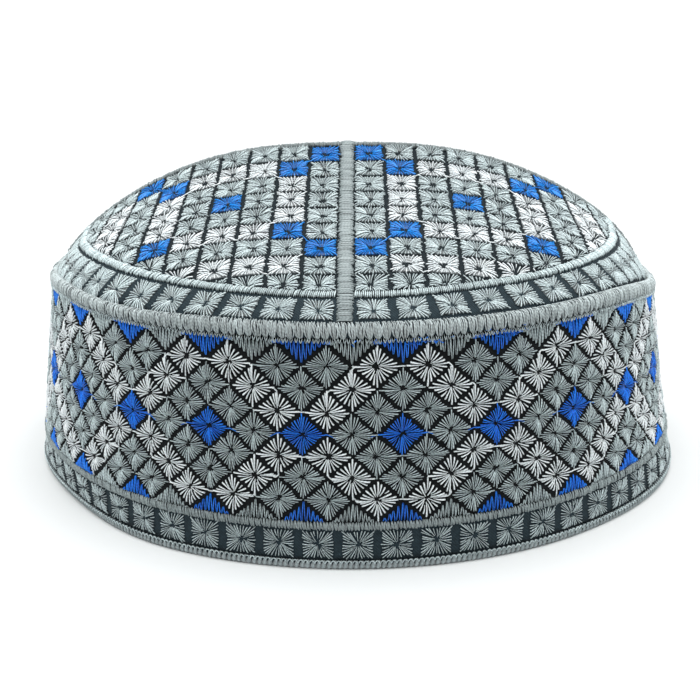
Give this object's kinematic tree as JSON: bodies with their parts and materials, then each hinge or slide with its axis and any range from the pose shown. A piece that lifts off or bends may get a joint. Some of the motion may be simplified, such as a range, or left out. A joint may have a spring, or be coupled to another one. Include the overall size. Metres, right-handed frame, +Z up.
{
  "type": "kufi cap",
  "caption": "Round brimless cloth cap: an embroidered side band with a bound hem, a corded rim, and a low crown that is creased from side to side and crossed by satin strips.",
  "frame": {"origin": "middle of the head opening, on the plane that the hem rests on", "axes": "+Z up to the crown, front of the cap towards -Y, the crown's crease along X"},
  "size_m": [0.1988, 0.1872, 0.0959],
  "materials": {
    "cap_cloth": "matt dark slate twill",
    "grey_thread": "satin-stitched polyester embroidery thread",
    "cord_thread": "overlocked polyester thread"
  },
  "bodies": {
    "root": {"crown": "cap_cloth", "side_band": "cap_cloth", "hem_binding": "cord_thread", "band_line": "grey_thread", "rim_cord": "cord_thread", "crown_strip_long": "grey_thread", "crown_strip_left": "grey_thread", "crown_strip_right": "grey_thread", "crown_line_front_left": "grey_thread", "crown_line_back_left": "grey_thread", "crown_line_front_right": "grey_thread", "crown_line_back_right": "grey_thread"}
  },
  "joints": []
}
